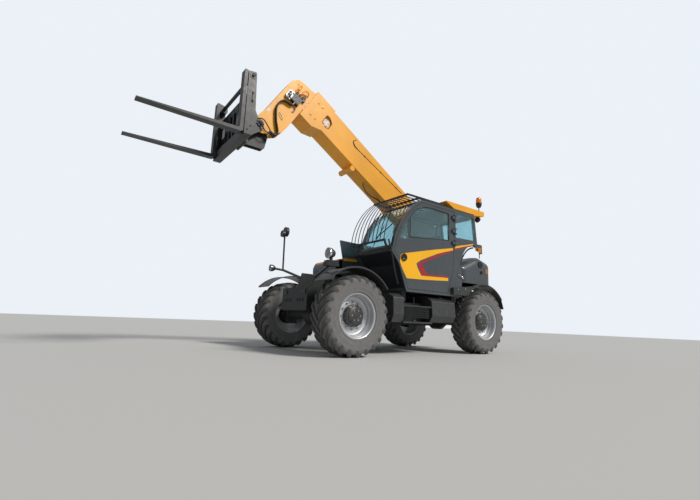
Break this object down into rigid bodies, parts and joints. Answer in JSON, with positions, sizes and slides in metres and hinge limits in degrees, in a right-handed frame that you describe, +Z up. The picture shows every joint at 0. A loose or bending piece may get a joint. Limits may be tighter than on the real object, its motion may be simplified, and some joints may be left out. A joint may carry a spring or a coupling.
{
  "type": "telehandler",
  "caption": "Telescopic handler with a raised two-section boom, fork carriage, side cab with curved glass, side engine hood and four-wheel steering.",
  "frame": {"origin": "middle of the bounding box on the ground, under the wheels", "axes": "+X forwards along the machine, +Y to its left, +Z up"},
  "size_m": [6.82, 2.3792, 4.5086],
  "materials": {
    "chassis_black": "satin black paint",
    "body_anthracite": "satin anthracite paint",
    "panel_black": "black paint",
    "body_yellow": "gloss yellow paint",
    "glass": "clear, slightly blue",
    "seat_cloth": "dark cloth",
    "plastic_dark": "dark moulded plastic",
    "engine_iron": "cast",
    "amber": "amber lens",
    "hose_black": "hydraulic hose",
    "ram_chrome": "polished",
    "fork_steel": "black, worn",
    "tyre_rubber": "dusty rubber",
    "rim_grey": "light grey paint"
  },
  "bodies": {
    "chassis": {"frame": "chassis_black", "tail_block": "chassis_black", "front_axle": "chassis_black", "rear_axle": "chassis_black", "cab_shell": "body_anthracite", "cab_front_panel": "panel_black", "cab_glass": "glass", "cab_roof": "body_yellow", "roof_guard": "panel_black", "seat": "seat_cloth", "dashboard": "plastic_dark", "front_fenders": "plastic_dark", "rear_fenders": "plastic_dark", "side_tank": "plastic_dark", "side_steps": "plastic_dark", "right_box": "plastic_dark", "hood_shield": "body_anthracite", "engine_tray": "chassis_black", "engine_block": "engine_iron", "tail_covers": "body_anthracite", "head_lamps": "plastic_dark", "mirror_post": "plastic_dark", "beacon": "amber"},
    "knuckle_front_left": {"knuckle_front_left": "chassis_black"},
    "knuckle_front_right": {"knuckle_front_right": "chassis_black"},
    "knuckle_rear_left": {"knuckle_rear_left": "chassis_black"},
    "knuckle_rear_right": {"knuckle_rear_right": "chassis_black"},
    "wheel_front_left": {"tyre_front_left": "tyre_rubber", "rim_front_left": "rim_grey"},
    "wheel_front_right": {"tyre_front_right": "tyre_rubber", "rim_front_right": "rim_grey"},
    "wheel_rear_left": {"tyre_rear_left": "tyre_rubber", "rim_rear_left": "rim_grey"},
    "wheel_rear_right": {"tyre_rear_right": "tyre_rubber", "rim_rear_right": "rim_grey"},
    "boom": {"boom_outer": "body_yellow", "boom_collar": "body_yellow"},
    "extension": {"boom_inner": "body_yellow", "boom_head": "body_yellow", "head_hoses": "hose_black", "tilt_barrel": "panel_black"},
    "carriage": {"coupler": "panel_black", "fork_frame": "panel_black"},
    "fork_left": {"fork_left": "fork_steel"},
    "fork_right": {"fork_right": "fork_steel"},
    "lift_cylinder": {"lift_barrel": "panel_black"},
    "lift_ram": {"lift_rod": "ram_chrome"},
    "tilt_ram": {"tilt_rod": "ram_chrome"},
    "door": {"door_panel": "body_anthracite", "door_glass": "glass"},
    "hood": {"engine_hood": "body_anthracite"}
  },
  "joints": [
    {"name": "steer_front_left", "type": "hinge", "parent": "chassis", "child": "knuckle_front_left", "pos_m": [0.39, 0.86, 0.58], "axis": [0, 0, 1], "range_deg": [-35, 35]},
    {"name": "wheel_front_left", "type": "hinge", "parent": "knuckle_front_left", "child": "wheel_front_left", "pos_m": [0.39, 0.98, 0.58], "axis": [0, 1, 0], "continuous": true},
    {"name": "steer_front_right", "type": "hinge", "parent": "chassis", "child": "knuckle_front_right", "pos_m": [0.39, -0.86, 0.58], "axis": [0, 0, 1], "range_deg": [-35, 35]},
    {"name": "wheel_front_right", "type": "hinge", "parent": "knuckle_front_right", "child": "wheel_front_right", "pos_m": [0.39, -0.98, 0.58], "axis": [0, 1, 0], "continuous": true},
    {"name": "steer_rear_left", "type": "hinge", "parent": "chassis", "child": "knuckle_rear_left", "pos_m": [-2.61, 0.86, 0.58], "axis": [0, 0, 1], "range_deg": [-35, 35]},
    {"name": "wheel_rear_left", "type": "hinge", "parent": "knuckle_rear_left", "child": "wheel_rear_left", "pos_m": [-2.61, 0.98, 0.58], "axis": [0, 1, 0], "continuous": true},
    {"name": "steer_rear_right", "type": "hinge", "parent": "chassis", "child": "knuckle_rear_right", "pos_m": [-2.61, -0.86, 0.58], "axis": [0, 0, 1], "range_deg": [-35, 35]},
    {"name": "wheel_rear_right", "type": "hinge", "parent": "knuckle_rear_right", "child": "wheel_rear_right", "pos_m": [-2.61, -0.98, 0.58], "axis": [0, 1, 0], "continuous": true},
    {"name": "boom_lift", "type": "hinge", "parent": "chassis", "child": "boom", "pos_m": [-3.11, 0, 1.7], "axis": [0, -1, 0], "range_deg": [-34, 34]},
    {"name": "boom_extend", "type": "slide", "parent": "boom", "child": "extension", "axis": [0.848, 0, 0.5299], "range_m": [0, 2.1]},
    {"name": "carriage_tilt", "type": "hinge", "parent": "extension", "child": "carriage", "pos_m": [1.67128, 0, 3.45544], "axis": [0, -1, 0], "range_deg": [-75, 45]},
    {"name": "fork_slide_left", "type": "slide", "parent": "carriage", "child": "fork_left", "axis": [0, 1, 0], "range_m": [-0.4, 0]},
    {"name": "fork_slide_right", "type": "slide", "parent": "carriage", "child": "fork_right", "axis": [0, 1, 0], "range_m": [0, 0.4]},
    {"name": "lift_cylinder_swing", "type": "hinge", "parent": "chassis", "child": "lift_cylinder", "pos_m": [-2.86, 0, 1], "axis": [0, -1, 0], "range_deg": [-30, 30]},
    {"name": "lift_ram_slide", "type": "slide", "parent": "lift_cylinder", "child": "lift_ram", "axis": [0.735, 0, 0.6781], "range_m": [-0.41, 0.41]},
    {"name": "tilt_ram_slide", "type": "slide", "parent": "extension", "child": "tilt_ram", "axis": [0.4871, 0, -0.8733], "range_m": [-0.21, 0.13]},
    {"name": "door_swing", "type": "hinge", "parent": "chassis", "child": "door", "pos_m": [-1.81, 1.124, 2.15], "axis": [0, 0, 1], "range_deg": [0, 95]},
    {"name": "hood_swing", "type": "hinge", "parent": "chassis", "child": "hood", "pos_m": [-1.11, -0.286, 1.655], "axis": [-1, 0, 0], "range_deg": [0, 60]}
  ],
  "couplings": [
    {"joint": "steer_front_right", "follows": "steer_front_left", "ratio": 1},
    {"joint": "steer_rear_right", "follows": "steer_rear_left", "ratio": 1},
    {"joint": "lift_cylinder_swing", "follows": "boom_lift", "ratio": 0.848},
    {"joint": "lift_ram_slide", "follows": "boom_lift", "m_per_rad": 0.6715},
    {"joint": "tilt_ram_slide", "follows": "carriage_tilt", "m_per_rad": 0.1511}
  ]
}
